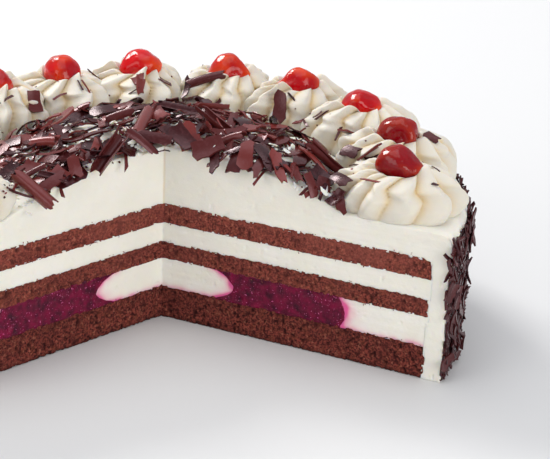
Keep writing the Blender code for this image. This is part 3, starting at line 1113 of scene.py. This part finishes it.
# %% The height map
class Bed:
    """Heights on a raster; shavings that are dropped on it pile up."""

    CELL = 1.0 * MM

    def __init__(self, low, high):
        self.low = np.array(low)
        self.shape = np.ceil((np.array(high) - self.low) / self.CELL).astype(int) + 1
        grid = [low[k] + np.arange(self.shape[k]) * self.CELL for k in (0, 1)]
        self.x, self.y = np.meshgrid(*grid, indexing="ij")
        self.z = np.zeros(self.shape)
        self.base = self.z

    def cells(self, x, y):
        """The raster's cells nearest to some places, as row and column numbers."""
        i, j = (np.rint((at - low) / self.CELL).astype(int) for at, low in zip((x, y), self.low))
        return np.clip(i, 0, self.shape[0] - 1), np.clip(j, 0, self.shape[1] - 1)

    def drop(self, rng, spot, heading, size, steepest, wobble, ceiling):
        """Lands one shaving: its height, its two slopes, or None where the heap is too high."""
        length, width, thick = size
        c, s = math.cos(heading), math.sin(heading)
        u = np.linspace(-0.5, 0.5, max(3, int(length / self.CELL) + 1))[:, None] * length
        v = np.linspace(-0.5, 0.5, max(2, int(width / self.CELL) + 1))[None, :] * width
        where = self.cells(spot[0] + u * c - v * s, spot[1] + u * s + v * c)
        under = self.z[where]
        along = (u * under).sum() / (u * u).sum() / v.size
        across = (v * under).sum() / (v * v).sum() / u.size
        along, across = np.clip([along, across], -steepest, steepest) + rng.normal(0, wobble, 2)
        height = np.quantile(under - u * along - v * across, 0.7)
        if height > self.base[self.cells(*np.array(spot))] + ceiling:
            return None
        np.maximum.at(self.z, where, height + u * along + v * across + thick * 0.8)
        return height, along, across


def pick_shape(rng, kind, scale):
    """One of the shapes of a kind: its number, how it is stretched, and its size then."""
    sizes = SHAPES[kind][1]
    shape = int(rng.integers(len(sizes)))
    stretch = rng.uniform(0.75, 1.2, 3) * scale
    return shape, stretch, sizes[shape] * stretch


def turn_of(ahead, outward):
    """The Euler angles that turn x to ahead and z to outward."""
    ahead = ahead / np.linalg.norm(ahead)
    side = np.cross(outward, ahead)
    side /= np.linalg.norm(side)
    up = np.cross(ahead, side)
    rise = -math.asin(max(-1, min(1, ahead[2])))
    return math.atan2(side[2], up[2]), rise, math.atan2(ahead[1], ahead[0])

# %% [markdown]
# ## The heap on top
#
# A handful of shavings lies on the dome: splinters and crumbs at the bottom, plates and curls over
# them, and cream still showing between. They have picked up flecks of cream, and some plates lean
# on the rosettes. Where the wedge was cut, some hang over the edge, so the map slopes down past the
# cut. A thin dark crust of crushed chocolate under the heap also stands in as painted shade in the
# gaps, so they don't all show white, and it sinks below the cream where the noise is low.


# %% Spread the crust
def make_crust_and_gap_shade(name, node, block, r, z):
    """Crushed chocolate, darker than the shavings on it; the dark sheet also stands in for the shade in the
    gaps.
    """
    points = block.put(r, z)
    piece = make_piece(name, points, block.faces, CHOCOLATE, {"tone": np.full(len(points), 0.1)})
    return settle(piece, "chocolate", node)


block = Block(60, 3, 150, True)
INSET = 0.03
block.angle = START + INSET + (SWEEP - 2 * INSET) * block.w
flat_places = block.put(block.u * HEAP_RADIUS, 0 * block.u)
lump = rough(flat_places, 9 * MM, 210.0, 4) + 0.5 * noise(flat_places, 30 * MM, 215.0)
swell = (-0.0005 + 0.0018 * lump) * (1 - block.u**6) - 0.0012 * block.u**8
from_cut = block.u * HEAP_RADIUS * SWEEP * np.minimum(block.w, 1 - block.w)
swell = np.maximum(swell - 0.0028 * np.exp(-((from_cut / 0.004) ** 2)), -0.0017)
r = block.u * HEAP_RADIUS * (0.97 + 0.03 * noise(flat_places, 12 * MM, 218.0))
TOP_SUNK = 0.0022
z = dome(r) - TOP_SUNK + (swell + TOP_SUNK) * block.v
make_crust_and_gap_shade("crushed_crust_top", "shavings_top", block, r, z)

# %% Shape the bed on top
rng = np.random.default_rng(77)
HIGHEST = 0.0055
FACE_DOWN = 0.45
KEEP_CLEAR = 0.0135
top = Bed((-0.146, -0.146), (0.146, 0.146))


def past_cut(x, y):
    """How far a place lies out in the gap, past the nearer cut face; negative inside the cake."""
    first = x * math.sin(START) - y * math.cos(START)
    last = y * math.cos(START + SWEEP) - x * math.sin(START + SWEEP)
    return np.minimum(first, last)


top.z = dome(np.hypot(top.x, top.y))
for piece in list(bpy.context.scene.objects):
    if piece.name.startswith(("piped_rosette", "candied_cherry")):
        skin = np.array([v.co for v in piece.data.vertices])
        np.maximum.at(top.z, top.cells(skin[:, 0], skin[:, 1] - AXIS.y), skin[:, 2])
top.z -= 0.9 * np.clip(past_cut(top.x, top.y), 0, None)
top.base = top.z.copy()
print("bed", top.shape, "cells, highest", round(top.z.max(), 4))


def drop_on_top(pile, kind, spot, wobble, steepest=0.6, scale=1.0):
    """Drops one shaving on the top of the cake, unless the heap is high enough there."""
    heading = rng.uniform(0, math.tau)
    shape, stretch, size = pick_shape(rng, kind, scale)
    landed = top.drop(rng, spot, heading, size, steepest, wobble, HIGHEST)
    if landed is None:
        return
    height, along, across = landed
    c, s = math.cos(heading), math.sin(heading)
    ahead, side = np.array([c, s, along]), np.array([-s, c, across])
    outward = np.cross(ahead, side)
    place = np.array([spot[0], spot[1] + AXIS.y, height])
    if rng.random() < FACE_DOWN and kind != "crumb":
        outward = outward / np.linalg.norm(outward)
        place += outward * size[2]
        outward = -outward
    pile.append((place, turn_of(ahead, outward), stretch, shape))


# %% Choose places on the top
def bare(spot):
    """Whether the cream shows through there, mostly."""
    return noise(np.array([[*spot, 0.0]]), 13 * MM, 230.0)[0] > 0.05


def heap_spot(reach, inner=0.0):
    """A place on the dome, with a ragged edge to the heap and some bare patches."""
    while True:
        angle = START + SWEEP * rng.uniform(-0.01, 1.01)
        r = reach * math.sqrt(rng.uniform(inner, 1))
        ragged = reach * (0.93 + 0.07 * math.sin(7 * angle + 1) * math.sin(3 * angle))
        spot = at_angle(angle, r)
        if r < ragged and past_cut(*spot) < 0.001 and not (bare(spot) and rng.random() < 0.8):
            return spot


def edge_spot(reach):
    """A place on the dome along one of the cuts, a little inside it or just over it."""
    angle, inward = ((START, 1), (START + SWEEP, -1))[int(rng.integers(2))]
    return at_angle(angle, reach * rng.uniform(0.02, 1), inward * rng.uniform(-0.0012, 0.005))


def rosette_spot():
    """A place among the rosettes, away from the cherries."""
    while True:
        angle = START + SWEEP * rng.random()
        spot = at_angle(angle, rng.triangular(0.080, 0.082, 0.130))
        number = math.floor((angle - START) / PORTION)
        gap = math.dist(spot, at_angle(middle_of(number), RING_RADIUS))
        if gap > KEEP_CLEAR and past_cut(*spot) < -0.004:
            return spot


print("the rosettes' middles stay clear for", KEEP_CLEAR, "m")

# %% Drop the shavings on the dome
#   kind, how many, reach, how unsteadily they lie
HEAP = (
    ("splinter", 220, 0.079, 0.2),
    ("crumb", 420, 0.079, 0.2),
    ("plate", 190, 0.078, 0.2),
    ("splinter", 140, 0.080, 0.2),
    ("curl", 60, 0.076, 0.2),
    ("plate", 110, 0.080, 0.25),
    ("crumb", 240, 0.083, 0.2),
    ("curl", 34, 0.078, 0.2),
    ("splinter", 80, 0.083, 0.3),
    ("plate", 20, 0.078, 0.75),
)
STRAYS = {"plate": 6, "curl": 1, "splinter": 30, "crumb": 50}
OVER_EDGE = {"plate": 46, "splinter": 60, "curl": 3, "crumb": 90}
#   portions from the first cut, distance from the axis, size: plates that lean on the rosettes
LEANING = (
    (0.22, 0.083, 1.0),
    (0.75, 0.086, 1.2),
    (1.02, 0.093, 1.2),
    (1.30, 0.085, 1.0),
    (1.95, 0.092, 1.2),
    (2.15, 0.085, 1.3),
    (2.95, 0.104, 1.3),
    (3.40, 0.086, 1.0),
    (4.90, 0.090, 0.8),
    (5.60, 0.085, 0.9),
    (7.30, 0.086, 1.1),
    (8.95, 0.093, 0.9),
    (9.70, 0.085, 1.0),
)
CREAM_CLUSTERS, LAST_CLUSTERS = 60, 130
RIM_PLATES = 30
laid = {kind: [] for kind in KINDS}
flecks = []


def drop_cream(clusters):
    """Drops clusters of cream crumbs, which the shavings have picked up."""
    for _ in range(clusters):
        middle = np.array(edge_spot(0.082) if rng.random() < 0.25 else heap_spot(0.077))
        grain = rng.uniform(0.5, 1.7)
        for _ in range(int(rng.integers(2, 7))):
            spot = middle + rng.normal(0, 0.0011, 2) * grain
            scale = grain * rng.uniform(0.6, 1.5) * np.array([1.3, 1.0, 0.6])
            drop_on_top(flecks, "crumb", spot, 0.35, scale=scale)


for kind, count, reach, wobble in HEAP:
    for _ in range(count):
        drop_on_top(laid[kind], kind, heap_spot(reach), wobble)
    if kind == "plate":
        drop_cream(CREAM_CLUSTERS)
for _ in range(RIM_PLATES):
    drop_on_top(laid["plate"], "plate", heap_spot(0.080, inner=0.78), 0.8)
for kind, count in OVER_EDGE.items():
    for _ in range(count):
        drop_on_top(laid[kind], kind, edge_spot(0.086), 0.15, steepest=1.0)
for kind, count in STRAYS.items():
    for _ in range(count):
        drop_on_top(laid[kind], kind, rosette_spot(), 0.1, scale=0.8)
drop_cream(LAST_CLUSTERS)
for portion, r, size in LEANING:
    spot = at_angle(START + portion * PORTION, r)
    drop_on_top(laid["plate"], "plate", spot, 0.3, steepest=1.2, scale=size)
for seed, (kind, spots) in enumerate(laid.items()):
    lay_shavings(f"top_{kind}s", kind, spots, seed, "shavings_top")
lay_shavings("cream_flecks", "crumb", flecks, 9, finish=CREAM, slot="cream")

# %% [markdown]
# ## The side
#
# The baker presses handfuls of fine shavings against the wet cream. They lie flat on it, mostly on
# end, and hold on to each other a few millimetres deep. The same drop works here with the side
# unrolled: the map runs along the wall and up it, and its heights point away from the cake.

# %% Press the crust to the side
block = Block(40, 3, 240, False)
block.angle = START + INSET / 2 + (SWEEP - INSET) * block.w
wall_places = np.stack([COAT_RADIUS * block.angle, 0 * block.u, RIM * block.u], axis=1)
lump = rough(wall_places, (6 * MM, 1, 12 * MM), 240.0)
swell = (0.0008 + 0.0009 * lump) * (1 - block.u**10)
z = 0.0003 + (RIM - 0.0045) * block.u + 0.002 * lump * block.u**4
SIDE_SUNK = 0.0012
r = COAT_RADIUS - SIDE_SUNK + (swell + SIDE_SUNK) * block.v
# The side crust is partly crushed chocolate, partly a dark sheet of painted shade between the pressed
# shavings.
make_crust_and_gap_shade("crushed_crust_side", "shavings_side", block, r, z)

# %% Press the shavings to the side
rng = np.random.default_rng(88)
LONG_WALL = COAT_RADIUS * SWEEP
MOST_PROUD = 0.0024
wall = Bed((-0.012, -0.004), (LONG_WALL + 0.012, 0.086))
wall.z -= 0.7 * np.clip(np.maximum(-wall.x, wall.x - LONG_WALL), 0, None)
wall.z -= 0.25 * np.clip(wall.y - RIM + 0.004, 0, None)
wall.base = wall.z.copy()


def press_to_side(pile, kind, spot, heading, scale):
    """Presses one shaving against the wall, unless it would stand out too far."""
    shape, stretch, size = pick_shape(rng, kind, scale)
    c, s = math.cos(heading), math.sin(heading)
    lowest = 0.55 * (size[0] * abs(s) + size[1] * abs(c)) + 0.0006
    spot = spot[0], min(max(spot[1], lowest), RIM + rng.triangular(-0.006, -0.001, 0.003) - lowest)
    landed = wall.drop(rng, spot, heading, size, 0.5, 0.07, MOST_PROUD)
    if landed is None:
        return
    height, along, across = landed
    angle = START + spot[0] / COAT_RADIUS
    out = np.array([math.cos(angle), math.sin(angle), 0.0])
    tangent, up = np.array([-out[1], out[0], 0.0]), np.array([0.0, 0.0, 1.0])
    ahead = c * tangent + s * up + along * out
    side = -s * tangent + c * up + across * out
    place = out * (COAT_RADIUS + height) + up * spot[1] + np.array(AXIS)
    pile.append((place, turn_of(ahead, np.cross(ahead, side)), stretch, shape))


def on_end(spread):
    """A heading near the upright, either way up."""
    return rng.choice((0.5, 1.5)) * math.pi + rng.normal(0, spread)


#   kind, how many, size, how far from the upright
WALL = (
    ("splinter", 1100, 1.0, 0.45),
    ("crumb", 900, 1.0, 3.0),
    ("plate", 420, 0.68, 0.7),
    ("splinter", 1100, 1.0, 0.5),
    ("plate", 320, 0.85, 0.6),
    ("curl", 26, 0.62, 0.6),
    ("splinter", 700, 1.05, 0.6),
    ("crumb", 700, 1.0, 3.0),
)
pressed = {kind: [] for kind in KINDS}
for kind, count, scale, spread in WALL:
    for _ in range(count):
        spot = rng.uniform(-0.0015, LONG_WALL + 0.0015), rng.uniform(0.001, RIM + 0.001)
        press_to_side(pressed[kind], kind, spot, on_end(spread), scale)
for seed, (kind, spots) in enumerate(pressed.items()):
    lay_shavings(f"side_{kind}s", kind, spots, 10 + seed, "shavings_side", palest=0.45)

# %% [markdown]
# ## Crumbs along the cuts
#
# The knife drags sponge crumbs a millimetre or two into the cream. They sit along the edges of the
# sponges, a little more above an edge than below it, and half of each is in the cream.

# %% Drag the crumbs
rng = np.random.default_rng(66)
CRUMBS = 320
EDGES = [height for layer, *_ in SPONGES for height in heights(f"sponge_{layer}")]
crumbs = []
for _ in range(CRUMBS):
    angle, outwards = ((START + SWEEP, 1), (START, -1))[int(rng.integers(2))]
    r = SPONGE_RADIUS * rng.uniform(0.02, 1.0)
    z = EDGES[1 + int(rng.integers(5))] + 0.0001 + 0.0005 * rng.standard_normal()
    x, y = at_angle(angle, r, outwards * 0.0002 * rng.random())
    turn, stretch = tuple(rng.uniform(0, math.tau, 3)), rng.uniform(0.2, 0.55, 3)
    crumbs.append((np.array([x, y + AXIS.y, z]), turn, stretch, int(rng.integers(6))))
lay_shavings("dragged_crumbs", "crumb", crumbs, 20, finish=SPONGE, slot="sponge")

# %% [markdown]
# ## Close the model
#
# The finished cake's size is printed beside the solid model's.

# %% Print the sizes and finish
size = {"cad": [list(corner) for corner in cad_box], "visual": [list(corner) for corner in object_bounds()]}
print(size)
